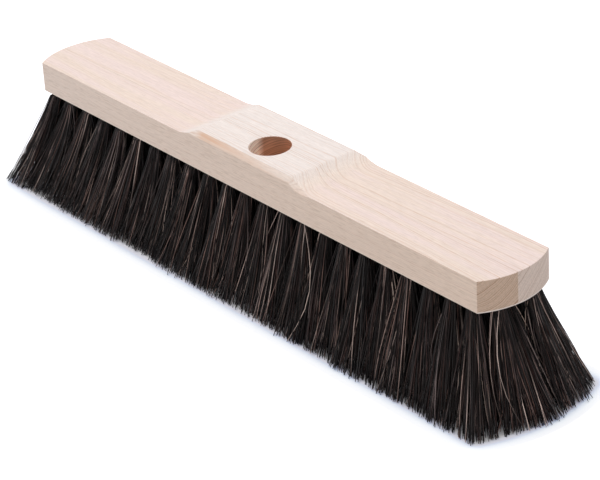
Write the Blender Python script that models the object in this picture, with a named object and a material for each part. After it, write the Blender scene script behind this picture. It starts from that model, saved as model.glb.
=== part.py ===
"""Wide floor broom head: a beech block of two glued staves, drilled for a handle and for tufts.

Metres, +Z up. The origin is on the floor under the middle of the brush, +X runs along the block
and -Y is the long side that the handle leans towards. The bristles stand on the floor.
"""
import math
import random

import bmesh
import bpy
from mathutils import Matrix, Vector

# Block, glued from two staves
BLOCK_LENGTH = 0.4000           # over the crowns of both ends
BLOCK_WIDTH = 0.0513
WING_THICKNESS = 0.0188         # beside the raised middle
FRONT_STAVE_WIDTH = 0.0220      # the rear stave has the rest of the width
END_CROWN = 0.0077              # how far the middle of an end stands out past its corners
FIT_GAP = 0.0003                # between solids that touch on the real broom

# Raised middle, which gives the handle its depth of wood
HUMP_RISE = 0.0052
HUMP_FLAT_LENGTH = 0.0840
HUMP_MIDDLE_X = 0.0010          # shaped a little off the block's middle
RAMP_RADIUS = 0.0340            # of the hollow that runs from a wing up to the flat
CHAMFER_LEG = 0.0032            # along the hump's long edges, at 45 degrees

# Blind handle socket
SOCKET_DIAMETER = 0.0238
SOCKET_DEPTH = 0.0170           # along its axis
SOCKET_TILT = math.radians(15)
SOCKET_MOUTH_X = 0.0052
SOCKET_MOUTH_Y = -0.0072
SOCKET_WALL = 0.0015            # least wood between the socket and the tufts beside it

# Tuft holes, drilled in staggered rows
COLUMN_PITCH = 0.00833
SIDE_MARGIN = 0.00565           # from a long side to the middles of its row of holes
END_MARGIN = 0.0080             # least distance from the crown of an end to the middle of a hole
HOLE_DIAMETER = 0.0054
HOLE_DEPTH = 0.0105

# Backing, the slice of the underside that each bank of tufts is fused to
BACKING_THICKNESS = 0.0030
BACKING_RIM = 0.0022            # wood left round the backing

# Bristles, which splay from the holes out to the floor
BRISTLE_LENGTH = 0.0620         # upright, from the block down to the floor
BRUSH_LENGTH = 0.4425           # over the bristle tips
BRUSH_WIDTH = 0.0920
BRUSH_CROWN = 0.0090            # how far the middle of an end's tips stands out past its corners
FAN_RADIUS = 0.0070             # of one tuft's tips about their middle
BUNCH_RADIUS = 0.0015           # of its strands about their middle in the hole
STRAND_ROOT_RADIUS = 0.0010
STRAND_TIP_RADIUS = 0.0014      # a strand stands for a lock of hairs, which opens downwards
TIP_TRIM = 0.0005               # cut off level with the floor

# Flat wire that anchors each folded tuft at the bottom of its hole
ANCHOR_HEIGHT = 0.0018
ANCHOR_THICKNESS = 0.0006
ANCHOR_TURN = math.radians(45)

CUT_OVERRUN = 0.0050            # cutters reach this far past what they cut
FUSE_DEPTH = 0.0010             # pieces fused together reach this far into each other
WELD_DISTANCE = 0.000001

ROWS_ACROSS = 5
STRANDS_PER_TUFT = 4
STRAND_SIDES = 3
HOLE_SIDES = 6
SOCKET_SIDES = 32
END_ARC_STEPS = 18
RAMP_ARC_STEPS = 6
FAN_LEAST_SHARE = 0.80          # the least spread tip, as a share of FAN_RADIUS
FAN_JITTER = math.radians(10)
SHARP_ANGLE = math.radians(25)

HALF_LENGTH = BLOCK_LENGTH / 2
HALF_WIDTH = BLOCK_WIDTH / 2
UNDERSIDE_Z = BRISTLE_LENGTH
WING_Z = UNDERSIDE_Z + WING_THICKNESS
HUMP_Z = WING_Z + HUMP_RISE
HOLE_TOP_Z = UNDERSIDE_Z + HOLE_DEPTH
GLUE_Y = FRONT_STAVE_WIDTH - HALF_WIDTH
ROW_PITCH = (BLOCK_WIDTH - 2 * SIDE_MARGIN) / (ROWS_ACROSS - 1)
END_SIDES = {"left": -1, "right": 1}
LONG_SIDES = {"front": -1, "rear": 1}


def clear_scene():
    """Remove every object of the open scene."""
    for thing in list(bpy.data.objects):
        bpy.data.objects.remove(thing)


def new_collection(name):
    """A collection linked to the scene."""
    made = bpy.data.collections.new(name)
    bpy.context.scene.collection.children.link(made)
    return made


def principled(name, colour, roughness):
    """A plain dielectric finish."""
    material = bpy.data.materials.new(name)
    material.use_nodes = True
    shader = material.node_tree.nodes["Principled BSDF"]
    shader.inputs["Base Color"].default_value = (*colour, 1.0)
    shader.inputs["Roughness"].default_value = roughness
    shader.inputs["Metallic"].default_value = 0.0
    material.diffuse_color = (*colour, 1.0)
    return material


def mesh_object(name, shape, collection, material=None):
    """Put a finished bmesh in a new object of the collection."""
    mesh = bpy.data.meshes.new(name)
    shape.to_mesh(mesh)
    shape.free()
    thing = bpy.data.objects.new(name, mesh)
    collection.objects.link(thing)
    if material:
        mesh.materials.append(material)
    else:
        thing.hide_render = True
        thing.display_type = "WIRE"
    return thing


def box(name, low, high, collection, material=None):
    """An upright block between two corners."""
    low, high = Vector(low), Vector(high)
    size = Matrix.Diagonal((high - low).to_4d())
    shape = bmesh.new()
    bmesh.ops.create_cube(shape, size=1.0, matrix=Matrix.Translation((low + high) / 2) @ size)
    return mesh_object(name, shape, collection, material)


def prism(name, outline, low, high, collection, material=None):
    """A flat outline filled and drawn out from low to high, square to its plane."""
    curve = bpy.data.curves.new(name, "CURVE")
    curve.dimensions = "2D"
    curve.fill_mode = "BOTH"
    curve.extrude = (high - low) / 2
    spline = curve.splines.new("POLY")
    spline.points.add(len(outline) - 1)
    for point, (across, up) in zip(spline.points, outline):
        point.co = (across, up, 0.0, 1.0)
    spline.use_cyclic_u = True
    drawn = bpy.data.objects.new(name, curve)
    bpy.context.scene.collection.objects.link(drawn)
    drawn.location.z = (low + high) / 2
    bpy.context.view_layer.update()
    graph = bpy.context.evaluated_depsgraph_get()
    filled = bpy.data.meshes.new_from_object(drawn.evaluated_get(graph))
    shape = bmesh.new()
    shape.from_mesh(filled)
    bmesh.ops.remove_doubles(shape, verts=shape.verts, dist=WELD_DISTANCE)
    bmesh.ops.transform(shape, matrix=drawn.matrix_world, verts=shape.verts)
    bpy.data.objects.remove(drawn)
    bpy.data.curves.remove(curve)
    bpy.data.meshes.remove(filled)
    return mesh_object(name, shape, collection, material)


def apply_to(thing, operation, other):
    """Stack a Boolean with another object on this one."""
    step = thing.modifiers.new(other.name, "BOOLEAN")
    step.operation = operation
    step.solver = "EXACT"
    step.object = other


def end_x(y):
    """Half the block's length at a distance y from its centre line."""
    radius = (HALF_WIDTH ** 2 + END_CROWN ** 2) / (2 * END_CROWN)
    return HALF_LENGTH - radius + math.sqrt(radius ** 2 - y ** 2)


def plan_outline(y_low, y_high, inset=0.0):
    """The block's outline from above between two lengthwise lines, with its crowned ends."""
    steps = math.ceil(END_ARC_STEPS * (y_high - y_low) / BLOCK_WIDTH)
    heights = [y_low + (y_high - y_low) * step / steps for step in range(steps + 1)]
    right = [(end_x(y) - inset, y) for y in heights]
    left = [(-x, y) for x, y in reversed(right)]
    return right + left


def shoulder_cutter(name, side, cutters):
    """The waste over one wing: level above the wing, then hollow up to the hump's flat."""
    crest_x = HUMP_FLAT_LENGTH / 2
    sweep = math.acos(1 - HUMP_RISE / RAMP_RADIUS)
    foot_x = crest_x + RAMP_RADIUS * math.sin(sweep)
    far_x = HALF_LENGTH + CUT_OVERRUN
    above = HUMP_Z + CUT_OVERRUN
    profile = [(crest_x, above)]
    for step in range(RAMP_ARC_STEPS + 1):
        angle = sweep * (1 - step / RAMP_ARC_STEPS)
        x = foot_x - RAMP_RADIUS * math.sin(angle)
        z = WING_Z + RAMP_RADIUS * (1 - math.cos(angle))
        profile.append((x, z))
    profile += [(far_x, WING_Z), (far_x, above)]
    outline = [(side * x + HUMP_MIDDLE_X, z) for x, z in profile]
    reach = HALF_WIDTH + CUT_OVERRUN
    cutter = prism(name + "_shoulder_waste", outline, -reach, reach, cutters)
    cutter.rotation_euler.x = math.pi / 2
    return cutter


def chamfer_cutter(name, side, cutters):
    """A block turned by 45 degrees that takes off one long edge of the hump."""
    waste = CHAMFER_LEG * math.sqrt(2) + CUT_OVERRUN
    low = (-HALF_LENGTH, -waste, 0.0)
    high = (HALF_LENGTH, waste, waste)
    cutter = box(name + "_chamfer_waste", low, high, cutters)
    cutter.rotation_euler.x = -side * math.pi / 4
    cutter.location.y = side * (HALF_WIDTH - CHAMFER_LEG / 2)
    cutter.location.z = HUMP_Z - CHAMFER_LEG / 2
    return cutter


def socket_y(z):
    """Where the tilted socket's axis passes a height."""
    return SOCKET_MOUTH_Y + (HUMP_Z - z) * math.tan(SOCKET_TILT)


def socket_cutter(cutters):
    """The drill for the handle, leaning towards -Y as the handle does."""
    radius = SOCKET_DIAMETER / 2
    above = radius * math.tan(SOCKET_TILT) + CUT_OVERRUN
    shape = bmesh.new()
    bmesh.ops.create_cone(
        shape,
        cap_ends=True,
        segments=SOCKET_SIDES,
        radius1=radius,
        radius2=radius,
        depth=SOCKET_DEPTH + above,
        matrix=Matrix.Translation((0.0, 0.0, (above - SOCKET_DEPTH) / 2)),
    )
    cutter = mesh_object("socket_drill", shape, cutters)
    cutter.rotation_euler.x = SOCKET_TILT
    cutter.location = (SOCKET_MOUTH_X, SOCKET_MOUTH_Y, HUMP_Z)
    return cutter


def even_places(count, pitch):
    """That many places at one pitch, even about the middle."""
    return [pitch * (index - (count - 1) / 2) for index in range(count)]


def under_socket(low_x, high_x):
    """True for the bank that the socket's axis meets."""
    return low_x < SOCKET_MOUTH_X <= high_x


def pad_edges():
    """The front and rear y of the solid wood left under the socket's floor."""
    floor_y = SOCKET_MOUTH_Y + SOCKET_DEPTH * math.sin(SOCKET_TILT)
    reach = SOCKET_DIAMETER / 2 + SOCKET_WALL
    return floor_y - reach, floor_y + reach


def beside_pad(y):
    """True for a row whose holes miss the pad."""
    front, rear = pad_edges()
    return not front - HOLE_DIAMETER / 2 < y < rear + HOLE_DIAMETER / 2


def has_wood_for_tuft(x, y):
    """True where a tuft hole keeps its wall to the handle socket."""
    reach = (SOCKET_DIAMETER + HOLE_DIAMETER) / 2 + SOCKET_WALL
    return math.hypot(x - SOCKET_MOUTH_X, y - socket_y(HOLE_TOP_Z)) >= reach


def plan_banks():
    """Each bank's low and high x and the places of its tufts, in staggered rows.

    A bank is a pair of neighbouring columns of tufts; the first one takes three.
    """
    columns_a_side = math.floor((HALF_LENGTH - END_MARGIN) / COLUMN_PITCH)
    xs = even_places(2 * columns_a_side + 1, COLUMN_PITCH)
    ys = even_places(ROWS_ACROSS, ROW_PITCH)
    outer_parity = (len(xs) // 2 + len(ys) // 2) % 2
    starts = [0] + list(range(3, len(xs), 2))
    stops = starts[1:] + [len(xs)]
    banks = []
    for start, stop in zip(starts, stops):
        low = xs[start] - COLUMN_PITCH / 2 if start else -HALF_LENGTH
        high = xs[stop] - COLUMN_PITCH / 2 if stop < len(xs) else HALF_LENGTH
        tufts = [
            (xs[column], y)
            for column in range(start, stop)
            for row, y in enumerate(ys)
            if (column + row) % 2 == outer_parity
            and has_wood_for_tuft(xs[column], y)
            and (beside_pad(y) or not under_socket(low, high))
        ]
        banks.append((low, high, tufts))
    return banks


def add_pin(shape, radius, x, y, low, high):
    """An upright pin with as many sides as a tuft hole."""
    bmesh.ops.create_cone(
        shape,
        cap_ends=True,
        segments=HOLE_SIDES,
        radius1=radius,
        radius2=radius,
        depth=high - low,
        matrix=Matrix.Translation((x, y, (low + high) / 2)),
    )


def hole_cutter(banks, cutters):
    """All the tuft holes, drilled up from the underside."""
    shape = bmesh.new()
    for _, _, tufts in banks:
        for x, y in tufts:
            add_pin(shape, HOLE_DIAMETER / 2, x, y, UNDERSIDE_Z - CUT_OVERRUN, HOLE_TOP_Z)
    return mesh_object("tuft_hole_drills", shape, cutters)


def backing_cutter(banks, cutters):
    """The shallow recess in the underside that the slices of backing fill."""
    reach = HALF_WIDTH - BACKING_RIM
    top = UNDERSIDE_Z + BACKING_THICKNESS + FIT_GAP
    outline = plan_outline(-reach, reach, BACKING_RIM)
    recess = prism("backing_recess", outline, UNDERSIDE_Z - CUT_OVERRUN, top, cutters)
    front, rear = pad_edges()
    for low_x, high_x, _ in banks:
        if under_socket(low_x, high_x):
            low = (low_x + FIT_GAP / 2, front, UNDERSIDE_Z - 2 * CUT_OVERRUN)
            high = (high_x - FIT_GAP / 2, rear, top + CUT_OVERRUN)
            apply_to(recess, "DIFFERENCE", box("socket_pad", low, high, cutters))
    return recess


def stave(name, y_low, y_high, tools, parts, material):
    """One length of beech, shaped with its neighbour after they are glued."""
    outline = plan_outline(y_low, y_high)
    piece = prism(name, outline, UNDERSIDE_Z, HUMP_Z, parts, material)
    for tool in tools:
        apply_to(piece, "DIFFERENCE", tool)
    piece.data.shade_smooth()
    piece.data.set_sharp_from_angle(angle=SHARP_ANGLE)
    return piece


def add_strand(shape, root, tip, turn):
    """One strand, level at both ends, that leans from its root to its tip."""
    made = bmesh.ops.create_cone(
        shape,
        cap_ends=True,
        segments=STRAND_SIDES,
        radius1=STRAND_TIP_RADIUS,
        radius2=STRAND_ROOT_RADIUS,
        depth=root.z - tip.z,
        matrix=Matrix.Rotation(turn, 4, "Z"),
    )
    for vert in made["verts"]:
        end = root if vert.co.z > 0 else tip
        vert.co.x += end.x
        vert.co.y += end.y
        vert.co.z = end.z


def tip_end_x(y):
    """Half the length of the brush at the floor, at a distance y from its centre line."""
    return BRUSH_LENGTH / 2 - BRUSH_CROWN * (2 * y / BRUSH_WIDTH) ** 2


def tip_middle(x, y, last_x, last_y):
    """Where a tuft's tips centre on the floor, from its hole and the last holes of its rows."""
    room = FAN_RADIUS + STRAND_TIP_RADIUS
    tip_y = y * (BRUSH_WIDTH / 2 - room) / last_y
    tip_x = x * (tip_end_x(tip_y) - room) / last_x
    return Vector((tip_x, tip_y))


def add_tuft(shape, x, y, last_x, last_y):
    """One tuft's strands, fanned out. Tufts at mirrored places are mirrored."""
    draw = random.Random(f"{round(abs(x) / COLUMN_PITCH)} {round(abs(y) / ROW_PITCH)}")
    flip = Vector((math.copysign(1, x), math.copysign(1, y)))
    outward = math.atan2(abs(y) / HALF_WIDTH, abs(x) / HALF_LENGTH)
    hole = Vector((x, y))
    middle = tip_middle(x, y, last_x, last_y)
    for strand in range(STRANDS_PER_TUFT):
        angle = outward + math.tau * strand / STRANDS_PER_TUFT
        fan = FAN_RADIUS
        if strand:
            angle += draw.uniform(-FAN_JITTER, FAN_JITTER)
            fan *= draw.uniform(FAN_LEAST_SHARE, 1.0)
        aim = Vector((math.cos(angle), math.sin(angle))) * flip
        root = (hole + BUNCH_RADIUS * aim).to_3d()
        tip = (middle + fan * aim).to_3d()
        root.z = UNDERSIDE_Z + FUSE_DEPTH
        tip.z = -TIP_TRIM
        add_strand(shape, root, tip, math.atan2(aim.y, aim.x))


def strand_tool(name, tufts, last_xs, last_y, cutters):
    """A bank's strands, drawn a little past the floor and cut off level with it."""
    shape = bmesh.new()
    for x, y in tufts:
        add_tuft(shape, x, y, last_xs[y], last_y)
    cut = bmesh.ops.bisect_plane(
        shape,
        geom=shape.verts[:] + shape.edges[:] + shape.faces[:],
        plane_co=(0.0, 0.0, 0.0),
        plane_no=(0.0, 0.0, -1.0),
        clear_outer=True,
    )
    rims = [item for item in cut["geom_cut"] if isinstance(item, bmesh.types.BMEdge)]
    bmesh.ops.holes_fill(shape, edges=rims)
    bmesh.ops.recalc_face_normals(shape, faces=shape.faces)
    return mesh_object(name + "_strands", shape, cutters)


def root_tool(name, tufts, cutters):
    """The folded roots that fill a bank's holes up to their anchors."""
    top = HOLE_TOP_Z - FIT_GAP - ANCHOR_HEIGHT
    shape = bmesh.new()
    for x, y in tufts:
        low = UNDERSIDE_Z + BACKING_THICKNESS - FUSE_DEPTH
        add_pin(shape, HOLE_DIAMETER / 2 - 2 * FIT_GAP, x, y, low, top)
    return mesh_object(name + "_roots", shape, cutters)


def anchor_tool(name, tufts, cutters):
    """A bank's flat wires, on edge across the folded roots."""
    high = HOLE_TOP_Z - FIT_GAP
    low = high - ANCHOR_HEIGHT - FUSE_DEPTH
    length = HOLE_DIAMETER * math.cos(math.pi / HOLE_SIDES) - 4 * FIT_GAP
    size = Matrix.Diagonal((length, ANCHOR_THICKNESS, high - low, 1.0))
    turn = Matrix.Rotation(ANCHOR_TURN, 4, "Z")
    shape = bmesh.new()
    for x, y in tufts:
        place = Matrix.Translation((x, y, (low + high) / 2))
        bmesh.ops.create_cube(shape, size=1.0, matrix=place @ turn @ size)
    return mesh_object(name + "_anchors", shape, cutters)


def tuft_bank(name, backing, tools, parts, material):
    """A slice of the backing with its tufts fused to it."""
    piece = box(name, *backing, parts, material)
    field, *fused = tools
    apply_to(piece, "INTERSECT", field)
    for tool in fused:
        apply_to(piece, "UNION", tool)
    return piece


def tuft_banks(banks, parts, cutters, material):
    """Every bank of tufts; the one under the socket is made as a front and a rear half."""
    last_xs = {}
    for _, _, tufts in banks:
        last_xs.update({y: x for x, y in tufts})
    last_y = max(last_xs)
    reach = HALF_WIDTH - BACKING_RIM - FIT_GAP
    top = UNDERSIDE_Z + BACKING_THICKNESS
    outline = plan_outline(-reach, reach, BACKING_RIM + FIT_GAP)
    field = prism("backing_field", outline, UNDERSIDE_Z, top, cutters)
    pad_front, pad_rear = pad_edges()
    for number, (low_x, high_x, tufts) in enumerate(banks, start=1):
        name = f"tuft_bank_{number:02d}"
        spans = [(name, -HALF_WIDTH, HALF_WIDTH)]
        if under_socket(low_x, high_x):
            spans = [
                (name + "_front", -HALF_WIDTH, pad_front - FIT_GAP),
                (name + "_rear", pad_rear + FIT_GAP, HALF_WIDTH),
            ]
        for label, low_y, high_y in spans:
            low = (low_x + FIT_GAP / 2, low_y, UNDERSIDE_Z)
            high = (high_x - FIT_GAP / 2, high_y, top)
            held = [(x, y) for x, y in tufts if low_y < y < high_y]
            tools = [
                field,
                root_tool(label, held, cutters),
                anchor_tool(label, held, cutters),
                strand_tool(label, held, last_xs, last_y, cutters),
            ]
            tuft_bank(label, (low, high), tools, parts, material)


def build():
    """Model the whole broom head."""
    clear_scene()
    parts = new_collection("wide_floor_broom")
    cutters = new_collection("cutters")
    beech = principled("beech", (0.72, 0.55, 0.43), 0.62)
    bristle = principled("dark_bristle", (0.026, 0.020, 0.017), 0.45)
    banks = plan_banks()
    tools = [shoulder_cutter(name, side, cutters) for name, side in END_SIDES.items()]
    tools += [chamfer_cutter(name, side, cutters) for name, side in LONG_SIDES.items()]
    tools += [socket_cutter(cutters), backing_cutter(banks, cutters), hole_cutter(banks, cutters)]
    stave("front_stave", -HALF_WIDTH, GLUE_Y - FIT_GAP / 2, tools, parts, beech)
    stave("rear_stave", GLUE_Y + FIT_GAP / 2, HALF_WIDTH, tools, parts, beech)
    tuft_banks(banks, parts, cutters, bristle)


build()
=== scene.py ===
"""The look of a wide floor broom head: a beech block with dark tufts, standing on its bristles."""
import math

import bmesh
import bpy
import numpy as np
from mathutils import Matrix, Vector


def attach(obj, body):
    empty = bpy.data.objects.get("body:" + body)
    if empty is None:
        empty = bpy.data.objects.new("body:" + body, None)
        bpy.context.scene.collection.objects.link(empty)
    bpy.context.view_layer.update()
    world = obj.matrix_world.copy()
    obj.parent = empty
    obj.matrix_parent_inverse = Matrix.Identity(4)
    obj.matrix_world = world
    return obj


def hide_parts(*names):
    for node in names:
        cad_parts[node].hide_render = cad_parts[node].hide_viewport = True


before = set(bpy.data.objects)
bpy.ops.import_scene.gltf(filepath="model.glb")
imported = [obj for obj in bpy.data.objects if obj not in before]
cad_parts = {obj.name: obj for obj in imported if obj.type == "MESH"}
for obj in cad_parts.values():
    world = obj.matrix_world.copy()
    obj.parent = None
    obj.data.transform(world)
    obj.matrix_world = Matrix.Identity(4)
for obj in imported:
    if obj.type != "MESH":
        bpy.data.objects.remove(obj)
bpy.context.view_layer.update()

# The block is two lengths of beech, glued edge to edge and planed to one width and thickness.
# The middle is left thicker for the handle, and a cutter hollows it down to the thin wings.
# A drill leaning as the handle does makes the blind socket, and sandpaper eases every edge.
MM = 0.001
UNDERSIDE_Z = 62.0 * MM
BLOCK_LENGTH = 400.0 * MM
BLOCK_WIDTH = 51.3 * MM
WING_THICKNESS = 18.8 * MM
FRONT_STAVE_WIDTH = 22.0 * MM
END_CROWN = 7.7 * MM
HUMP_RISE = 5.2 * MM
HUMP_FLAT_LENGTH = 84.0 * MM
HUMP_MIDDLE_X = 1.0 * MM
RAMP_RADIUS = 34.0 * MM
CHAMFER_LEG = 3.1 * MM          # on the flat of the hump; it runs out along the ramps
CHAMFER_END = 0.05 * MM         # a leg below this has run out
EASED_EDGE = 0.35 * MM
EASED_FROM = math.radians(28)   # edges that turn more than this are eased
ROUNDED_BROW = 1.2 * MM         # half the rounding between the hump's flat and a ramp
SPARE = 5.0 * MM                # cutters reach this far past the wood
SKIM = 0.01 * MM                # and stay this far off the flat of the hump

SOCKET_DIAMETER = 23.8 * MM
SOCKET_DEPTH = 17.0 * MM
SOCKET_TILT = math.radians(15)
SOCKET_MOUTH = Vector((5.2 * MM, -7.2 * MM, UNDERSIDE_Z + WING_THICKNESS + HUMP_RISE))

HALF_LENGTH = BLOCK_LENGTH / 2
HALF_WIDTH = BLOCK_WIDTH / 2
WING_Z = UNDERSIDE_Z + WING_THICKNESS
HUMP_Z = WING_Z + HUMP_RISE
GLUE_Y = FRONT_STAVE_WIDTH - HALF_WIDTH


def closed_solid(name, points, faces):
    """A new object from points and faces that enclose a solid."""
    mesh = bpy.data.meshes.new(name)
    mesh.from_pydata(points, [], faces)
    shape = bmesh.new()
    shape.from_mesh(mesh)
    bmesh.ops.recalc_face_normals(shape, faces=shape.faces)
    shape.to_mesh(mesh)
    shape.free()
    piece = bpy.data.objects.new(name, mesh)
    bpy.context.scene.collection.objects.link(piece)
    return piece


def solid_between(name, near, far):
    """A closed solid with an outline at each end and flat strips between them."""
    count = len(near)
    faces = [tuple(range(count)), tuple(range(count, 2 * count))]
    for here in range(count):
        after = (here + 1) % count
        faces.append((here, after, after + count, here + count))
    return closed_solid(name, [*near, *far], faces)


def settle(piece):
    """Make what a piece's modifiers give its own mesh."""
    bpy.context.view_layer.update()
    graph = bpy.context.evaluated_depsgraph_get()
    done = bpy.data.meshes.new_from_object(piece.evaluated_get(graph))
    done.name = piece.name
    piece.modifiers.clear()
    piece.data = done


def carve(piece, tool, operation="DIFFERENCE"):
    """Cut a piece with a tool, and put the tool away."""
    step = piece.modifiers.new("carve", "BOOLEAN")
    step.operation = operation
    step.solver = "EXACT"
    step.material_mode = "INDEX"
    step.object = tool
    settle(piece)
    bpy.data.objects.remove(tool)


def turned(x, y, z, tilt, middle):
    """A point of a tool that leans about X, moved to its place."""
    return Matrix.Rotation(tilt, 3, "X") @ Vector((x, y, z)) + middle


# Plan of the block, with its crowned ends
END_ARC_STEPS = 48
end_radius = (HALF_WIDTH ** 2 + END_CROWN ** 2) / (2 * END_CROWN)
right_end = []
for step in range(END_ARC_STEPS + 1):
    y = HALF_WIDTH * (2 * step / END_ARC_STEPS - 1)
    x = HALF_LENGTH - end_radius + math.sqrt(end_radius ** 2 - y ** 2)
    right_end.append((x, y))
plan = right_end + [(-x, y) for x, y in reversed(right_end)]
block = solid_between(
    "block",
    [(x, y, UNDERSIDE_Z) for x, y in plan],
    [(x, y, HUMP_Z) for x, y in plan],
)

# Waste over each wing: rounded over the brow, and hollow along the ramp
RAMP_STEPS = 24
BROW_STEPS = 8
half_flat = HUMP_FLAT_LENGTH / 2
ramp_sweep = math.acos(1 - HUMP_RISE / RAMP_RADIUS)
ramp_foot = half_flat + RAMP_RADIUS * math.sin(ramp_sweep)
profile = [(half_flat - ROUNDED_BROW - SPARE, HUMP_Z + SPARE)]
for step in range(BROW_STEPS + 1):
    x = half_flat + ROUNDED_BROW * (2 * step / BROW_STEPS - 1)
    drop = math.tan(ramp_sweep) * ROUNDED_BROW * (step / BROW_STEPS) ** 2
    profile.append((x, HUMP_Z + SKIM - drop))
for step in range(RAMP_STEPS + 1):
    angle = ramp_sweep * (1 - step / RAMP_STEPS)
    x = ramp_foot - RAMP_RADIUS * math.sin(angle)
    if x > half_flat + 1.2 * ROUNDED_BROW:    # clear of the rounding
        profile.append((x, WING_Z + RAMP_RADIUS * (1 - math.cos(angle))))
profile.append((HALF_LENGTH + SPARE, WING_Z))
profile.append((HALF_LENGTH + SPARE, HUMP_Z + 2 * SPARE))
profile.append((half_flat - ROUNDED_BROW - SPARE, HUMP_Z + 2 * SPARE))
reach = HALF_WIDTH + SPARE
for side in (-1, 1):
    waste = solid_between(
        "wing_waste",
        [(side * x + HUMP_MIDDLE_X, -reach, z) for x, z in profile],
        [(side * x + HUMP_MIDDLE_X, reach, z) for x, z in profile],
    )
    carve(block, waste)

# Waste along the hump's long edges, at 45 degrees. The chamfers are level and run out on the ramps,
# but at the front right the chamfer follows the ramp down and runs out at its foot.
stations = []
for side in (-1, 1):
    for step in range(RAMP_STEPS + 1):
        angle = ramp_sweep * (1 - step / RAMP_STEPS)
        x = ramp_foot - RAMP_RADIUS * math.sin(angle)
        z = WING_Z + RAMP_RADIUS * (1 - math.cos(angle))
        done = (x - half_flat) / (ramp_foot - half_flat)
        level = CHAMFER_LEG - (HUMP_Z - z)
        following = CHAMFER_LEG * (1 - done ** 2) - CHAMFER_END
        stations.append((side * x + HUMP_MIDDLE_X, z, following if side > 0 else level, level))
stations.sort()
for side in (-1, 1):
    rings = []
    for x, z, front_leg, rear_leg in stations:
        leg = front_leg if side < 0 else rear_leg
        edge = [(-leg, 0), (0, -leg), (SPARE, -leg - SPARE), (SPARE, SPARE), (-leg - SPARE, SPARE)]
        rings.append([(x, side * (HALF_WIDTH + y), z + up) for y, up in edge])
    count = len(rings[0])
    faces = [tuple(range(count)), tuple(range((len(rings) - 1) * count, len(rings) * count))]
    for place in range(len(rings) - 1):
        for here in range(count):
            after = (here + 1) % count
            faces.append((
                place * count + here, place * count + after,
                (place + 1) * count + after, (place + 1) * count + here,
            ))
    carve(block, closed_solid("chamfer_waste", [point for ring in rings for point in ring], faces))


def ring_of(sides, diameter):
    """Corners of a drill's outline, round its middle."""
    angles = [2 * math.pi * step / sides for step in range(sides)]
    return [(diameter / 2 * math.cos(angle), diameter / 2 * math.sin(angle)) for angle in angles]


# Handle drill, whose cut takes the drilled finish
SOCKET_SIDES = 96
circle = ring_of(SOCKET_SIDES, SOCKET_DIAMETER)
drill = solid_between(
    "handle_drill",
    [turned(x, y, -SOCKET_DEPTH, SOCKET_TILT, SOCKET_MOUTH) for x, y in circle],
    [turned(x, y, 2 * SPARE, SOCKET_TILT, SOCKET_MOUTH) for x, y in circle],
)
for finish in ("planed", "drilled"):
    block.data.materials.append(bpy.data.materials.new("unfinished_" + finish))
    drill.data.materials.append(bpy.data.materials["unfinished_" + finish])
for face in drill.data.polygons:
    face.material_index = 1
carve(block, drill)

easing = block.modifiers.new("eased_edges", "BEVEL")
easing.width = EASED_EDGE
easing.segments = 3
easing.limit_method = "ANGLE"
easing.angle_limit = EASED_FROM
easing.use_clamp_overlap = False
settle(block)

# Blind holes for the tufts, drilled in staggered rows. None is beside the socket's floor.
COLUMNS = 47
ROWS = 5
COLUMN_PITCH = 8.33 * MM
ROW_PITCH = 10.0 * MM
HOLE_DIAMETER = 5.4 * MM
HOLE_DEPTH = 10.5 * MM
HOLE_SIDES = 24
SOCKET_COLUMNS = (23, 24)       # under the socket, with tufts in the outer rows only
SOCKET_BANK = 12                # they are one bank, in two halves
SOCKET_FLOOR_X = SOCKET_MOUTH.x
SOCKET_FLOOR_Y = SOCKET_MOUTH.y + (HUMP_Z - UNDERSIDE_Z - HOLE_DEPTH) * math.tan(SOCKET_TILT)
CLEAR_OF_SOCKET = 16.1 * MM     # from the middle of its floor to the middle of a hole
OUTER_ROW_Y = ROWS // 2 * ROW_PITCH
holes = {}
for column in range(COLUMNS):
    for row in range(ROWS):
        x = (column - COLUMNS // 2) * COLUMN_PITCH
        y = (row - ROWS // 2) * ROW_PITCH
        clear = math.hypot(x - SOCKET_FLOOR_X, y - SOCKET_FLOOR_Y) > CLEAR_OF_SOCKET
        outer_row = row in (0, ROWS - 1)
        if (column + row) % 2 == 1 and clear and (outer_row or column not in SOCKET_COLUMNS):
            bank = max(1, (column + 1) // 2)
            name = f"{bank:02d}"
            if bank == SOCKET_BANK:
                name += "_front" if y < 0 else "_rear"
            holes.setdefault(name, []).append((x, y))
# One more in the rear row, in front of which the socket leaves no room for inner ones
holes[f"{SOCKET_BANK}_rear"].append((COLUMN_PITCH, OUTER_ROW_Y))
drills = []
for centres in holes.values():
    for x, y in centres:
        rim = [(x + across, y + up) for across, up in ring_of(HOLE_SIDES, HOLE_DIAMETER)]
        drills.append(
            solid_between(
                "tuft_drill",
                [(a, b, UNDERSIDE_Z - SPARE) for a, b in rim],
                [(a, b, UNDERSIDE_Z + HOLE_DEPTH) for a, b in rim],
            )
        )
gang = bmesh.new()
for drill in drills:
    gang.from_mesh(drill.data)
    bpy.data.objects.remove(drill)
gang_mesh = bpy.data.meshes.new("tuft_drills")
gang.to_mesh(gang_mesh)
gang.free()
tuft_drills = bpy.data.objects.new("tuft_drills", gang_mesh)
bpy.context.scene.collection.objects.link(tuft_drills)
carve(block, tuft_drills)

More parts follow.
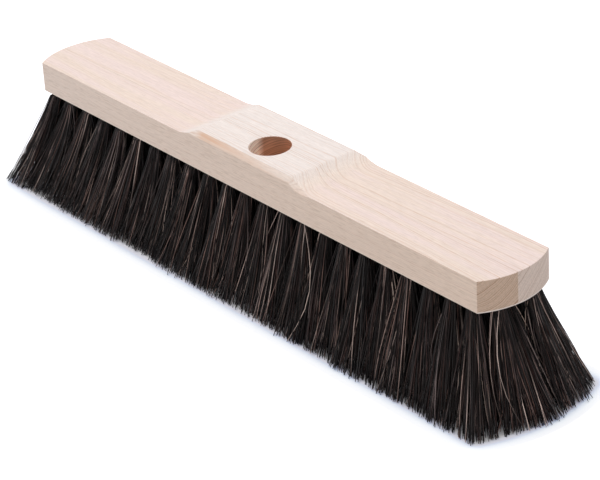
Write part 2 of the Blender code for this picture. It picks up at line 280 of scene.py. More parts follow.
# Sawn apart again at the glue line, because each stave is its own piece of wood
WELL_OUTSIDE = 1.0              # metres, past the block on every side
SHARP_FROM = math.radians(35)   # edges that turn more than this catch the light as edges
staves = {}
for name, low, high in (("front", -WELL_OUTSIDE, GLUE_Y), ("rear", GLUE_Y, WELL_OUTSIDE)):
    stave = bpy.data.objects.new(name + "_stave_beech", block.data.copy())
    bpy.context.scene.collection.objects.link(stave)
    corners = [(-WELL_OUTSIDE, low), (WELL_OUTSIDE, low), (WELL_OUTSIDE, high), (-WELL_OUTSIDE, high)]
    share = solid_between(
        "share",
        [(x, y, -WELL_OUTSIDE) for x, y in corners],
        [(x, y, WELL_OUTSIDE) for x, y in corners],
    )
    carve(stave, share, "INTERSECT")
    for face in stave.data.polygons:
        face.use_smooth = True
    stave.data.set_sharp_from_angle(angle=SHARP_FROM)
    evening = stave.modifiers.new("even_shading", "WEIGHTED_NORMAL")
    evening.keep_sharp = True
    settle(stave)
    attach(stave, "root")
    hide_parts(name + "_stave")
    staves[name] = stave
bpy.data.objects.remove(block)


def linear(hex_colour):
    """An sRGB hex colour as the linear colour that a shader takes."""
    parts = []
    for place in (1, 3, 5):
        value = int(hex_colour[place:place + 2], 16) / 255
        parts.append(value / 12.92 if value <= 0.04045 else ((value + 0.055) / 1.055) ** 2.4)
    return (*parts, 1.0)


def add(tree, kind, inputs=None, **settings):
    """Add a shader node, with its settings, and with values or links for its inputs."""
    node = tree.nodes.new("ShaderNode" + kind)
    for name, value in settings.items():
        setattr(node, name, value)
    for place, value in (inputs or {}).items():
        if isinstance(value, bpy.types.NodeSocket):
            tree.links.new(value, node.inputs[place])
        else:
            node.inputs[place].default_value = value
    return node.outputs


def beech(name, pith, ring_width, end_wood, end_lines, drilled):
    """Steamed and planed beech, unfinished. It gives the eye a pale pinkish matt wood with thin growth
    lines along it, short dark ray flecks, and a darker end grain where the rings show as curves. The
    drilled kind is for the wall of the socket, which shows browner, partly from its wood and partly
    from painted shade, with the marks of the drill."""
    material = bpy.data.materials.new(name)
    material.use_nodes = True
    tree = material.node_tree
    shader = tree.nodes["Principled BSDF"]
    place = add(tree, "TexCoord")
    grain = place["Object"]
    spot = add(tree, "SeparateXYZ", {0: grain})
    facing = add(tree, "SeparateXYZ", {0: place["Normal"]})

    # Growth rings round the pith of the log, which drift a little along the length
    drift = add(tree, "TexNoise", {
        "Vector": add(tree, "VectorMath", {0: grain, 1: (9.0, 60.0, 60.0)}, operation="MULTIPLY")[0],
        "Scale": 1.0,
        "Detail": 3.0,
    })["Color"]
    centred = add(tree, "VectorMath", {0: drift, 1: (0.5, 0.5, 0.5)}, operation="SUBTRACT")[0]
    sway = (0.0, 5.0 * MM, 5.0 * MM)
    swayed = add(tree, "VectorMath", {0: centred, 1: sway}, operation="MULTIPLY")[0]
    wavering = add(tree, "VectorMath", {0: grain, 1: swayed}, operation="ADD")[0]
    from_pith = add(tree, "VectorMath", {0: wavering, 1: (0.0, *pith)}, operation="SUBTRACT")[0]
    across = add(tree, "VectorMath", {0: from_pith, 1: (0.0, 1.0, 1.0)}, operation="MULTIPLY")[0]
    radius = add(tree, "VectorMath", {0: across}, operation="LENGTH")["Value"]
    runout = add(tree, "Math", {0: spot["X"], 1: 0.014, 2: radius}, operation="MULTIPLY_ADD")[0]
    season = add(tree, "TexNoise", {"W": runout, "Scale": 240.0}, noise_dimensions="1D")["Fac"]
    season = add(tree, "Math", {0: season, 1: 2.2}, operation="MULTIPLY")[0]
    count = add(tree, "Math", {0: runout, 1: 1 / ring_width, 2: season}, operation="MULTIPLY_ADD")[0]
    part = add(tree, "Math", {0: count}, operation="FRACT")[0]
    whole = add(tree, "Math", {0: count}, operation="FLOOR")[0]
    rise = add(tree, "MapRange", {"Value": part, 1: 0.4, 2: 0.92}, interpolation_type="SMOOTHSTEP")[0]
    fall = add(tree, "MapRange", {"Value": part, 1: 1.0, 2: 0.93}, interpolation_type="SMOOTHSTEP")[0]
    year = add(tree, "TexWhiteNoise", {"W": whole}, noise_dimensions="1D")["Value"]
    late = add(tree, "Math", {0: rise, 1: fall}, operation="MULTIPLY")[0]
    late = add(tree, "Math", {0: late, 1: year}, operation="MULTIPLY")[0]

    # Four patterns drawn out along the wood, each with how many of its cells a metre takes. Streaks
    # are about 1 mm wide, fibres are drawn 0.6 mm thick because the real ones are too fine to show,
    # ray flecks are 3 mm long, and the tint changes slowly along the board.
    patterns = []
    for wood_place, cells, detail in (
        (wavering, (18.0, 900.0, 900.0), 2.0),
        (grain, (190.0, 1600.0, 1600.0), 2.0),
        (grain, (170.0, 1700.0, 1700.0), 1.0),
        (wavering, (7.0, 110.0, 110.0), 1.0),
    ):
        stretched = add(tree, "VectorMath", {0: wood_place, 1: cells}, operation="MULTIPLY")[0]
        noise = add(tree, "TexNoise", {"Vector": stretched, "Scale": 1.0, "Detail": detail})
        patterns.append(noise["Fac"])
    streaks, fibre, fleck, tint = patterns
    fleck = add(tree, "MapRange", {"Value": fleck, 1: 0.54, 2: 0.68})[0]
    tint = add(tree, "MapRange", {"Value": tint, 1: 0.36, 2: 0.64}, interpolation_type="SMOOTHSTEP")[0]

    ends = add(tree, "Math", {0: facing["X"]}, operation="ABSOLUTE")[0]
    ends = add(tree, "MapRange", {"Value": ends, 1: 0.5, 2: 0.75}, interpolation_type="SMOOTHSTEP")[0]
    sides = add(tree, "Math", {0: facing["Y"]}, operation="ABSOLUTE")[0]
    sides = add(tree, "MapRange", {"Value": sides, 1: 0.5, 2: 0.9})[0]

    wood = add(tree, "Mix", {0: tint, 6: linear("#F1DED7"), 7: linear("#F0DED1")}, data_type="RGBA")[2]
    # The hump and its ramps are paler than the wings, and the wood of its right ramp is a little
    # yellower
    raised = add(tree, "MapRange", {"Value": spot["Z"], 1: WING_Z + 0.1 * MM, 2: WING_Z + 1.6 * MM})[0]
    pale = add(tree, "MapRange", {"Value": spot["X"], 1: 40.0 * MM, 2: 52.0 * MM})[0]
    pale = add(tree, "Mix", {0: pale, 6: linear("#F2E8E2"), 7: linear("#F3E3D6")}, data_type="RGBA")[2]
    wood = add(tree, "Mix", {0: raised, 6: wood, 7: pale}, data_type="RGBA")[2]
    # The long sides are darker towards the right end
    side_wood = add(tree, "MapRange", {"Value": spot["X"], 1: -HALF_LENGTH, 2: HALF_LENGTH})[0]
    side_wood = add(tree, "Mix", {
        0: side_wood, 6: linear("#F2DFD0"), 7: linear("#EFD8C4"),
    }, data_type="RGBA")[2]
    wood = add(tree, "Mix", {0: sides, 6: wood, 7: side_wood}, data_type="RGBA")[2]
    # The growth lines are bolder to the right, and on the hump
    lines = add(tree, "MapRange", {
        "Value": spot["X"], 1: -60.0 * MM, 2: 120.0 * MM, 3: 0.5, 4: 1.0,
    })[0]
    bold = add(tree, "Math", {0: raised, 1: 0.72}, operation="MULTIPLY")[0]
    lines = add(tree, "Math", {0: lines, 1: bold}, operation="MAXIMUM")[0]
    lines = add(tree, "Math", {0: late, 1: lines}, operation="MULTIPLY")[0]
    # The planing broke the lines up into strokes
    strokes = add(tree, "MapRange", {"Value": fibre, 1: 0.36, 2: 0.62, 3: 0.35, 4: 1.35})[0]
    lines = add(tree, "Math", {0: lines, 1: strokes}, operation="MULTIPLY", use_clamp=True)[0]
    wood = add(tree, "Mix", {0: lines, 6: wood, 7: linear("#DCC0AD")}, data_type="RGBA")[2]
    streak = add(tree, "MapRange", {"Value": streaks, 1: 0.3, 2: 0.7, 3: 0.965, 4: 1.025})[0]
    wood = add(tree, "VectorMath", {0: wood, 1: streak}, operation="MULTIPLY")[0]
    streak = add(tree, "MapRange", {"Value": fibre, 1: 0.3, 2: 0.7, 3: 0.94, 4: 1.05})[0]
    wood = add(tree, "VectorMath", {0: wood, 1: streak}, operation="MULTIPLY")[0]
    flecks = add(tree, "MapRange", {"Value": sides, 3: 0.10, 4: 0.20})[0]
    flecks = add(tree, "Math", {0: flecks, 1: fleck}, operation="MULTIPLY")[0]
    wood = add(tree, "Mix", {0: flecks, 6: wood, 7: linear("#A88768")}, data_type="RGBA")[2]

    # The front chamfer cuts through a darker, redder layer at its left
    out_of_chamfer = (0.0, -0.707, 0.707)
    slope = add(tree, "VectorMath", {0: place["Normal"], 1: out_of_chamfer}, operation="DOT_PRODUCT")
    slope = add(tree, "MapRange", {"Value": slope["Value"], 1: 0.93, 2: 0.98})[0]
    start = add(tree, "MapRange", {"Value": spot["X"], 1: -41.0 * MM, 2: -35.0 * MM})[0]
    red = add(tree, "MapRange", {"Value": spot["X"], 1: -30.0 * MM, 2: 42.0 * MM, 3: 1.0, 4: 0.0})[0]
    red = add(tree, "Math", {0: red, 1: 1.4}, operation="POWER")[0]
    red = add(tree, "Math", {0: red, 1: start}, operation="MULTIPLY")[0]
    red = add(tree, "Math", {0: red, 1: slope}, operation="MULTIPLY")[0]
    layers = add(tree, "MapRange", {"Value": streaks, 1: 0.34, 2: 0.62, 3: 0.55, 4: 1.1})[0]
    red = add(tree, "Math", {0: red, 1: layers}, operation="MULTIPLY", use_clamp=True)[0]
    wood = add(tree, "Mix", {0: red, 6: wood, 7: linear("#E2BDA2")}, data_type="RGBA")[2]

    pores = add(tree, "TexNoise", {"Vector": grain, "Scale": 1100.0, "Detail": 2.0})["Fac"]
    pores = add(tree, "MapRange", {"Value": pores, 1: 0.35, 2: 0.65, 3: 0.92, 4: 1.05})[0]
    end_grain = add(tree, "Mix", {
        0: late, 6: linear(end_wood), 7: linear(end_lines),
    }, data_type="RGBA")[2]
    end_grain = add(tree, "VectorMath", {0: end_grain, 1: pores}, operation="MULTIPLY")[0]
    wood = add(tree, "Mix", {0: ends, 6: wood, 7: end_grain}, data_type="RGBA")[2]
    # Painted highlight: a pale band along the lower rim, strongest on the end grain
    rim = add(tree, "MapRange", {
        "Value": spot["Z"], 1: UNDERSIDE_Z + 1.0 * MM, 2: UNDERSIDE_Z + 0.5 * MM,
    })[0]
    rim_strength = add(tree, "MapRange", {"Value": ends, 3: 0.25, 4: 0.8})[0]
    rim = add(tree, "Math", {0: rim, 1: rim_strength}, operation="MULTIPLY")[0]
    wood = add(tree, "Mix", {0: rim, 6: wood, 7: linear("#FDF3E8")}, data_type="RGBA")[2]
    # Glue line, a hair of darker wood along the joint, but pale on the end grain
    joint = add(tree, "Math", {0: spot["Y"], 1: GLUE_Y, 2: 0.22 * MM}, operation="COMPARE")[0]
    joint = add(tree, "Math", {0: joint, 1: 0.25}, operation="MULTIPLY")[0]
    glue = add(tree, "Mix", {0: ends, 6: linear("#A98D78"), 7: linear("#F4E8DC")}, data_type="RGBA")[2]
    wood = add(tree, "Mix", {0: joint, 6: wood, 7: glue}, data_type="RGBA")[2]
    if drilled:
        # Partly the wood's own colour and partly painted shade inside the socket: the wall is beige in
        # the front stave, then brown, and reddish on the far right
        behind = add(tree, "MapRange", {"Value": spot["Y"], 1: -7.0 * MM, 2: GLUE_Y + 1.0 * MM})[0]
        beyond = add(tree, "MapRange", {"Value": spot["X"], 1: -1.0 * MM, 2: 8.0 * MM})[0]
        wood = add(tree, "Mix", {
            0: behind, 6: linear("#FFF1E0"), 7: linear("#BB947A"),
        }, data_type="RGBA")[2]
        wood = add(tree, "Mix", {0: beyond, 6: wood, 7: linear("#DAA687")}, data_type="RGBA")[2]
        # Its lips left marks that climb across the wall, about 1 mm apart
        climb = [
            add(tree, "VectorMath", {0: grain, 1: axis}, operation="DOT_PRODUCT")["Value"]
            for axis in ((30.0, 38.0, 23.0), (-250.0, -320.0, 1150.0))
        ]
        marks = add(tree, "CombineXYZ", {0: climb[0], 1: climb[1]})[0]
        marks = add(tree, "TexNoise", {"Vector": marks, "Scale": 1.0, "Detail": 3.0})["Fac"]
        marks = add(tree, "MapRange", {"Value": marks, 1: 0.36, 2: 0.64, 3: 0.66, 4: 1.28})[0]
        wood = add(tree, "VectorMath", {0: wood, 1: marks}, operation="MULTIPLY")[0]
    tree.links.new(wood, shader.inputs["Base Color"])
    shader.inputs["Roughness"].default_value = 0.62
    shader.inputs["Specular IOR Level"].default_value = 0.35
    relief = add(tree, "Bump", {"Height": fibre, "Strength": 0.25, "Distance": 0.15 * MM})[0]
    tree.links.new(relief, shader.inputs["Normal"])
    return material


for name, pith, ring_width, end_wood, end_lines in (
    ("front", (-38.0 * MM, 109.0 * MM), 0.95 * MM, "#D4B8A0", "#A07457"),
    ("rear", (75.0 * MM, -10.0 * MM), 1.15 * MM, "#E3CFC0", "#BB9B85"),
):
    for slot, finish in enumerate(("planed", "drilled")):
        drilled = finish == "drilled"
        wood = beech(f"{finish}_beech_{name}", pith, ring_width, end_wood, end_lines, drilled)
        staves[name].data.materials[slot] = wood
for finish in ("planed", "drilled"):
    bpy.data.materials.remove(bpy.data.materials["unfinished_" + finish])

# The tufts are stiff dark fibre, folded in half over a flat wire that is driven into each hole.
# They leave the holes as tight bunches, splay to a wider field, and are trimmed level at the floor.
BRUSH_LENGTH = 443.0 * MM
BRUSH_WIDTH = 89.4 * MM
BRUSH_MIDDLE_Y = -1.5 * MM
LEFT_CROWN = 7.0 * MM           # how far the middle of an end's tips stands out past its corners
RIGHT_FRONT_CROWN = 13.0 * MM
RIGHT_REAR_CROWN = 17.0 * MM
RIGHT_SPREAD = 1.2 * MM         # the tips reach a little further at the right end
FRONT_LEFT_WIDTH = 0.967        # of the full width of the field in front of its middle line
CELL_HALF_LENGTH = 10.0 * MM    # half of the share of the field that one tuft's tips fill
CELL_HALF_WIDTH = 8.8 * MM
EDGE_X = (COLUMNS // 2 - 1.5) * COLUMN_PITCH    # tufts past these are outer ones
EDGE_Y = (ROWS // 2 - 0.5) * ROW_PITCH
BUNCH_RADIUS = 2.1 * MM         # of a tuft in its hole
LOCKS_ALONG = 9                 # fibres cling together in small locks
LOCKS_ACROSS = 7
HAIRS_PER_LOCK = 3
# Where a hair's flare at the hole's mouth ends, and where it has rings of points, as shares of the
# way from the mouth to the tip
FLARE_END = 0.05
HAIR_STATIONS = (-0.05, 0.0, FLARE_END, 0.2, 0.36, 0.52, 0.68, 0.84, 1.0)
HAIR_RINGS = len(HAIR_STATIONS)
HAIR_SIDES = 3                  # real hairs are round, but too fine for more sides to show
HAIR_ROOT_RADIUS = 0.27 * MM
HAIR_TIP_RADIUS = 0.22 * MM
# Share of its splay that a hair has after the flare, and the power by which the rest grows
FLARE = 0.18
LEFT_END_FLARE = 0.16
EDGE_FLARE = 0.09
CURVE = 1.3
EDGE_CURVE = 1.1
# How far hairs bow and wander: most lie with their lock, some don't, and a few are pale strays
STEADY = 0.6 * MM
RESTLESS = 3.4 * MM
RESTLESS_SHARE = 0.22
STRAY = 5.0 * MM
STRAY_SHARE = 0.010
STRAY_TONE = 0.94               # the fibre's ramp is pale from here on
MOST_OUTWARD = 0.8 * MM         # how far a hair bows or wanders out of the field
DISORDER = 2.6 * MM             # of the tips within the field
EDGE_DISORDER = 0.8 * MM        # and at its edge
LOCK_TRIM = 0.5 * MM            # how far the tips of a lock end above the floor
HAIR_TRIM = 0.4 * MM


def end_of_field(y, right):
    """How far the tips reach along the broom, at a distance from the middle line of their field. Its
    ends are crowned, and the right one is blunt at the front and round at the rear."""
    share = np.abs(2 * y / BRUSH_WIDTH)
    if right:
        crown = np.where(y < 0, RIGHT_FRONT_CROWN * share ** 1.3, RIGHT_REAR_CROWN * share ** 3)
        return BRUSH_LENGTH / 2 + RIGHT_SPREAD - crown
    return BRUSH_LENGTH / 2 - LEFT_CROWN * share ** 2


def tuft_hairs(x, y, rng):
    """Middle lines, thicknesses, tones and glints of the hairs of one tuft."""
    locks = LOCKS_ALONG * LOCKS_ACROSS
    hairs = locks * HAIRS_PER_LOCK
    column, row = np.divmod(np.arange(locks), LOCKS_ACROSS)
    share = np.stack([
        2 * (column + rng.random(locks)) / LOCKS_ALONG - 1,
        2 * (row + rng.random(locks)) / LOCKS_ACROSS - 1,
    ], axis=1)
    # In the hole the square of tips is drawn in to a disc, and some locks lie out of order
    u, v = share.T
    bunch = np.stack([u * np.sqrt(1 - v * v / 2), v * np.sqrt(1 - u * u / 2)], axis=1)
    bunch += rng.normal(0, 0.5, bunch.shape)
    bunch /= np.maximum(np.hypot(*bunch.T), 1)[:, None]
    lock = np.repeat(np.arange(locks), HAIRS_PER_LOCK)
    stray = rng.random(hairs) < STRAY_SHARE
    restless = np.where(rng.random(hairs) < RESTLESS_SHARE, RESTLESS, STEADY)
    restless = np.where(stray, STRAY, restless)[:, None]
    bend = rng.normal(0, STEADY, (locks, 2))[lock] + rng.normal(0, 1, (hairs, 2)) * restless
    wander = rng.normal(0, 1, (hairs, 2)) * restless
    wave = rng.normal(0, 0.25 * MM, (hairs, 2))
    # The tips of the outer tufts crowd towards the edge of the field, and are in better order there
    disorder = np.full((locks, 2), DISORDER)
    flare = np.array([FLARE, FLARE])
    curve = np.array([CURVE, CURVE])
    for axis, hole, edge_hole in ((0, x, EDGE_X), (1, y, EDGE_Y)):
        if abs(hole) > edge_hole:
            outward = math.copysign(1, hole)
            crowded = 1 - 2 * ((1 - outward * share[:, axis]) / 2) ** 1.5
            share[:, axis] = outward * crowded
            disorder[:, axis] = np.interp(crowded, (-1, 1), (DISORDER, EDGE_DISORDER))
            flare[axis] = LEFT_END_FLARE if axis == 0 and x < 0 else EDGE_FLARE
            curve[axis] = EDGE_CURVE
            for moved in (bend, wander):
                moved[:, axis] = outward * np.minimum(outward * moved[:, axis], MOST_OUTWARD)
    tip = (share * (CELL_HALF_LENGTH, CELL_HALF_WIDTH))[lock] + wander + rng.normal(0, 1.0 * MM, 2)
    tip += rng.normal(0, 1, (hairs, 2)) * disorder[lock]
    tip[:, 1] += y * (BRUSH_WIDTH / 2 - CELL_HALF_WIDTH) / OUTER_ROW_Y
    narrowed = np.interp(x, (-180.0 * MM, -100.0 * MM), (FRONT_LEFT_WIDTH, 1.0))
    tip[:, 1] *= np.where(tip[:, 1] < 0, narrowed, 1.0)
    # Every second row ends one column earlier
    last_column = COLUMNS // 2 - 1 if round(y / ROW_PITCH) % 2 == 0 else COLUMNS // 2
    last_x = last_column * COLUMN_PITCH
    tip[:, 0] += x * (end_of_field(tip[:, 1], x > 0) - CELL_HALF_LENGTH) / last_x
    tip[:, 1] += BRUSH_MIDDLE_Y
    tip_z = np.abs(rng.normal(0, LOCK_TRIM, locks))[lock] + np.abs(rng.normal(0, HAIR_TRIM, hairs))
    # A hair is straight in its hole, flares out at the mouth, and then splays on its way to the tip,
    # more and more on the inner tufts and nearly evenly on the outer ones
    fall = np.array(HAIR_STATIONS)[None, :, None]
    below = np.maximum(fall, 0)
    splay = np.minimum(below / FLARE_END, 1) * flare
    splay = splay + (np.maximum(below - FLARE_END, 0) / (1 - FLARE_END)) ** curve * (1 - flare)
    root = (np.array((x, y)) + bunch[lock] * BUNCH_RADIUS)[:, None]
    flat = root * (1 - splay) + tip[:, None] * splay
    flat = flat + bend[:, None] * np.sin(math.pi * below) + wave[:, None] * np.sin(2 * math.pi * below)
    heights = UNDERSIDE_Z * (1 - fall) + tip_z[:, None, None] * fall
    lines = np.concatenate([flat, heights], axis=2)
    tone = 0.95 * rng.random(hairs)
    tone = np.where(stray, STRAY_TONE + (1 - STRAY_TONE) * rng.random(hairs), tone)
    # Painted highlight: a hair's colour is lighter on a part of its length only, where a bending,
    # twisting hair would catch the light
    lit = rng.random((hairs, 1)) * 1.3 - 0.15
    reach = 0.3 + 0.45 * rng.random((hairs, 1))
    reach[stray] += 0.3
    glint = (1 - ((fall[:, :, 0] - lit) / reach) ** 2).clip(0, 1)
    # Painted shade: real hairs are more than these and let little light in between them, so the inner
    #     tufts are given darker tones and fewer glints, most of all near the block
    if abs(x) < EDGE_X and abs(y) < EDGE_Y:
        tone = np.where(stray, tone, 0.78 * tone)
        glint *= np.interp(fall[:, :, 0], (0.1, 0.6), (0.0, 1.0))
    thickness = rng.normal(1.0, 0.12, hairs).clip(0.7, 1.35)
    return lines, thickness, tone, glint


# Dark natural fibre, stiff and slightly shiny. It gives the eye near-black brown hairs, some of them
# reddish or grey-brown, and a few pale strays, with greyish glints painted into its colour as
# highlights.
fibre_finish = bpy.data.materials.new("dark_brush_fibre")
fibre_finish.use_nodes = True
tree = fibre_finish.node_tree
shader = tree.nodes["Principled BSDF"]
tone = add(tree, "Attribute", attribute_name="tone")["Fac"]
ramp = tree.nodes.new("ShaderNodeValToRGB")
tree.links.new(tone, ramp.inputs[0])
stops = ramp.color_ramp.elements
# Tones of the fibre: the dark, reddish and pale ones are its own, and the grey and light brown stops
# are partly painted highlights
for at, colour in ((0.0, "#060303"), (0.5, "#130A09"), (0.64, "#371F1B"), (0.72, "#80716E"),
                   (0.785, "#3C2520"), (0.865, "#997A70"), (0.935, "#D2BBB0"), (1.0, "#F4DAC8")):
    stop = stops[0] if at == 0.0 else stops[-1] if at == 1.0 else stops.new(at)
    stop.color = linear(colour)
# Patches a few millimetres wide are lighter and darker at random, and the fibre is lighter towards the
# right end
patchy = add(tree, "TexNoise", {
    "Vector": add(tree, "TexCoord")["Object"],
    "Scale": 1 / (7.0 * MM),
    "Detail": 2.0,
})["Fac"]
patchy = add(tree, "MapRange", {"Value": patchy, 1: 0.3, 2: 0.7, 3: 0.64, 4: 1.14})[0]
spot = add(tree, "SeparateXYZ", {0: add(tree, "TexCoord")["Object"]})
right_end_lift = add(tree, "MapRange", {
    "Value": spot["X"], 1: 150.0 * MM, 2: HALF_LENGTH, 3: 1.0, 4: 1.3,
})[0]
patchy = add(tree, "Math", {0: patchy, 1: right_end_lift}, operation="MULTIPLY")[0]
# Painted highlight: away from its glint a hair's colour falls to a near-black brown
glint = add(tree, "Attribute", attribute_name="glint")["Fac"]
glint = add(tree, "MapRange", {"Value": glint, 3: 0.14, 4: 1.0})[0]
coloured = add(tree, "Mix", {0: glint, 6: linear("#100807"), 7: ramp.outputs[0]}, data_type="RGBA")[2]
coloured = add(tree, "VectorMath", {0: coloured, 1: patchy}, operation="MULTIPLY")[0]
tree.links.new(coloured, shader.inputs["Base Color"])
shader.inputs["Roughness"].default_value = 0.40
shader.inputs["Specular IOR Level"].default_value = 0.27

# Each hair is a thin tapering prism, with a chart of its own in its bank's bake map
CHART_ROWS = 8
CHART_WIDE = 0.8                # shares of a hair's room in the map that its chart takes
CHART_HIGH = 0.96
CAP_HEIGHT = 0.01               # of the chart of a hair's end
for bank, centres in holes.items():
    rng = np.random.default_rng([2024, *bank.encode()])
    parts = [tuft_hairs(x, y, rng) for x, y in centres]
    lines = np.concatenate([part[0] for part in parts])
    thickness = np.concatenate([part[1] for part in parts])
    tones = np.concatenate([part[2] for part in parts])
    glints = np.concatenate([part[3] for part in parts])
    count = len(lines)
    along = np.linspace(0, 1, HAIR_RINGS)
    taper = HAIR_ROOT_RADIUS * (1 - along) + HAIR_TIP_RADIUS * along
    turn = rng.random(count)[:, None] * 2 * math.pi + np.arange(HAIR_SIDES) * 2 * math.pi / HAIR_SIDES
    corner = np.stack([np.cos(turn), np.sin(turn), np.zeros_like(turn)], axis=2)
    wide = thickness[:, None, None, None] * taper[None, :, None, None]
    points = lines[:, :, None, :] + wide * corner[:, None, :, :]
    first = np.arange(count)[:, None] * (HAIR_SIDES * HAIR_RINGS)
    chart_columns = math.ceil(count / CHART_ROWS)
    left = (np.arange(count) // CHART_ROWS + (1 - CHART_WIDE) / 2) / chart_columns
    right = left + CHART_WIDE / chart_columns
    foot = (np.arange(count) % CHART_ROWS + (1 - CHART_HIGH) / 2) / CHART_ROWS
    faces = []
    places = []
    for ring in range(HAIR_RINGS - 1):
        for side in range(HAIR_SIDES):
            after = (side + 1) % HAIR_SIDES
            here = ring * HAIR_SIDES + side
            beside = ring * HAIR_SIDES + after
            faces.append(first + [beside, here, here + HAIR_SIDES, beside + HAIR_SIDES])
            low = foot + CHART_HIGH / CHART_ROWS * ring / (HAIR_RINGS - 1)
            high = foot + CHART_HIGH / CHART_ROWS * (ring + 1) / (HAIR_RINGS - 1)
            one = left + (right - left) * side / (HAIR_SIDES - 1)
            other = left + (right - left) * after / (HAIR_SIDES - 1)
            places.append(np.stack([other, low, one, low, one, high, other, high], axis=1))
    quads = np.concatenate(faces).tolist()
    last = HAIR_SIDES * (HAIR_RINGS - 1)
    caps = np.concatenate([first + [0, 1, 2], first + [last + 2, last + 1, last]]).tolist()
    mesh = bpy.data.meshes.new("bristles_" + bank)
    mesh.from_pydata(points.reshape(-1, 3), [], quads + caps)
    mesh.polygons.foreach_set("use_smooth", [True] * len(mesh.polygons))
    for reading, values in (("tone", np.repeat(tones, HAIR_RINGS)), ("glint", glints.ravel())):
        of_points = np.repeat(values, HAIR_SIDES)
        mesh.attributes.new(reading, "FLOAT", "POINT").data.foreach_set("value", of_points)
    for low in (foot, high - CAP_HEIGHT):
        places.append(np.stack([left, low, right, low, left, low + CAP_HEIGHT], axis=1))
    chart = np.concatenate([place.ravel() for place in places])
    mesh.uv_layers.new(name="OFBake").data.foreach_set("uv", chart)
    mesh.materials.append(fibre_finish)
    bristles = bpy.data.objects.new("bristles_" + bank, mesh)
    bpy.context.scene.collection.objects.link(bristles)
    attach(bristles, "root")
    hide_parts("tuft_bank_" + bank)

# The floor is a smooth sheet of white paper that runs out of view on all sides. It shows white to the
# eye and keeps the object's shadow, and near the bristle tips its glow fades through blue to none, a
# painted soft bluish shadow.
FLOOR_REACH = 3.0               # metres
FLOOR_GLOW = 0.62
FLOOR_CROWN = 10.0 * MM         # of the shadow's outline, the same at both ends
END_INSET = 4.0 * MM            # the shadow's outline lies this far within the tips' outline
SIDE_INSET = 3.0 * MM
FADE_LENGTH = 13.5 * MM         # from the shadow's outline to the clean floor
floor_mesh = bpy.data.meshes.new("floor")
floor_mesh.from_pydata([
    (-FLOOR_REACH, -FLOOR_REACH, 0), (FLOOR_REACH, -FLOOR_REACH, 0),
    (FLOOR_REACH, FLOOR_REACH, 0), (-FLOOR_REACH, FLOOR_REACH, 0),
], [], [(0, 1, 2, 3)])
floor = bpy.data.objects.new("floor", floor_mesh)
bpy.context.scene.collection.objects.link(floor)
paper = bpy.data.materials.new("white_backdrop_paper")
paper.use_nodes = True
tree = paper.node_tree
tree.nodes.remove(tree.nodes["Principled BSDF"])
seen = add(tree, "LightPath")
seen_white = seen["Is Camera Ray"]
for ray in ("Is Glossy Ray", "Is Transmission Ray"):
    seen_white = add(tree, "Math", {0: seen_white, 1: seen[ray]}, operation="MAXIMUM")[0]
# How far a spot of the floor is outside the shadow's outline
under = add(tree, "SeparateXYZ", {0: add(tree, "TexCoord")["Object"]})
across = add(tree, "Math", {0: under["Y"], 1: BRUSH_MIDDLE_Y}, operation="SUBTRACT")[0]
across = add(tree, "Math", {0: across}, operation="ABSOLUTE")[0]
along = add(tree, "Math", {0: under["X"]}, operation="ABSOLUTE")[0]
crown = add(tree, "Math", {0: across, 1: across}, operation="MULTIPLY")[0]
along = add(tree, "Math", {
    0: crown, 1: 4 * FLOOR_CROWN / BRUSH_WIDTH ** 2, 2: along,
}, operation="MULTIPLY_ADD")[0]
outside = []
for place, half in ((along, BRUSH_LENGTH / 2 - END_INSET), (across, BRUSH_WIDTH / 2 - SIDE_INSET)):
    away = add(tree, "Math", {0: place, 1: half}, operation="SUBTRACT")[0]
    away = add(tree, "Math", {0: away, 1: 0.0}, operation="MAXIMUM")[0]
    outside.append(add(tree, "Math", {0: away, 1: away}, operation="MULTIPLY")[0])
away = add(tree, "Math", {0: outside[0], 1: outside[1]}, operation="ADD")[0]
away = add(tree, "Math", {0: away}, operation="SQRT")[0]
away = add(tree, "Math", {0: away, 1: FADE_LENGTH}, operation="DIVIDE")[0]
# Painted shadow: the floor's glow is black under the broom, bluish near its tips, and white further
# out
shadow_fade = tree.nodes.new("ShaderNodeValToRGB")
tree.links.new(away, shadow_fade.inputs[0])
stops = shadow_fade.color_ramp.elements
for at, colour in ((0.0, "#000000"), (0.28, "#193065"), (0.36, "#30638E"), (0.43, "#7486A1"),
                   (0.50, "#90A1AF"), (0.58, "#A7B1B9"), (0.65, "#B2B9BD"), (0.85, "#BABDBF"),
                   (1.0, "#F8FAFF")):
    stop = stops[0] if at == 0.0 else stops[-1] if at == 1.0 else stops.new(at)
    stop.color = linear(colour)
glow = add(tree, "Math", {0: seen_white, 1: FLOOR_GLOW}, operation="MULTIPLY")[0]
lit = add(tree, "BsdfDiffuse", {"Color": linear("#EDEDEF")})[0]
shine = add(tree, "Emission", {"Color": shadow_fade.outputs[0], "Strength": glow})[0]
both = add(tree, "AddShader", {0: lit, 1: shine})[0]
tree.links.new(both, tree.nodes["Material Output"].inputs["Surface"])
floor_mesh.materials.append(paper)

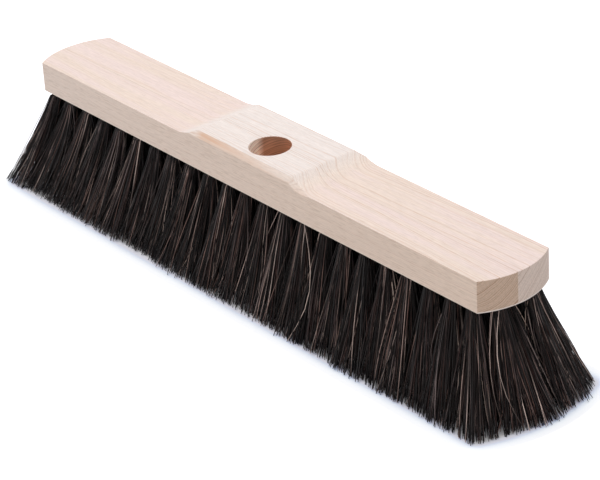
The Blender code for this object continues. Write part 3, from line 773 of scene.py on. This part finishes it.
# The studio light is an even, slightly cool tent all round, and one large soft box that hangs
# overhead, a little to the front left, and points down at the block.
world = bpy.data.worlds.new("light_tent")
bpy.context.scene.world = world
world.use_nodes = True
tree = world.node_tree
seen = add(tree, "LightPath")
seen_white = seen["Is Camera Ray"]
for ray in ("Is Glossy Ray", "Is Transmission Ray"):
    seen_white = add(tree, "Math", {0: seen_white, 1: seen[ray]}, operation="MAXIMUM")[0]
tent = tree.nodes["Background"]
tent.inputs["Color"].default_value = linear("#F6F8FF")
tent.inputs["Strength"].default_value = 0.52
white = add(tree, "Background", {"Color": linear("#FFFFFF"), "Strength": 1.0})[0]
either = add(tree, "MixShader", {0: seen_white, 1: tent.outputs[0], 2: white})[0]
tree.links.new(either, tree.nodes["World Output"].inputs["Surface"])

soft_box = bpy.data.lights.new("soft_box", "AREA")
soft_box.shape = "RECTANGLE"
soft_box.size = 1.6
soft_box.size_y = 1.2
soft_box.energy = 14.5
soft_box.color = linear("#FFFBF6")[:3]
lamp = bpy.data.objects.new("soft_box", soft_box)
lamp.location = (-0.15, -0.10, 1.5)
middle_of_block = Vector((0, 0, 80.0 * MM))
lamp.rotation_euler = (middle_of_block - lamp.location).to_track_quat("-Z", "Y").to_euler()
bpy.context.scene.collection.objects.link(lamp)

# The camera stands where the photograph was taken from, beyond the front right corner of the broom
# and above it, with a long lens. It was fitted to the block's corners, ramps and socket.
AZIMUTH = math.radians(51.8471)
ELEVATION = math.radians(28.3142)
ROLL = math.radians(-3.4304)
LOOKED_AT = Vector((0.02655, -0.00677, 0.03429))
DISTANCE = 1.45305
lens = bpy.data.cameras.new("camera")
lens.sensor_fit = "HORIZONTAL"
lens.sensor_width = 36.0
lens.lens = 155.28
camera = bpy.data.objects.new("camera", lens)
swing = Matrix.Rotation(AZIMUTH, 4, "Z") @ Matrix.Rotation(math.pi / 2 - ELEVATION, 4, "X")
swing = swing @ Matrix.Rotation(ROLL, 4, "Z")
camera.matrix_world = Matrix.Translation(LOOKED_AT + swing.to_3x3() @ Vector((0, 0, DISTANCE))) @ swing
bpy.context.scene.collection.objects.link(camera)
bpy.context.scene.camera = camera
bpy.context.scene.view_settings.view_transform = "Standard"
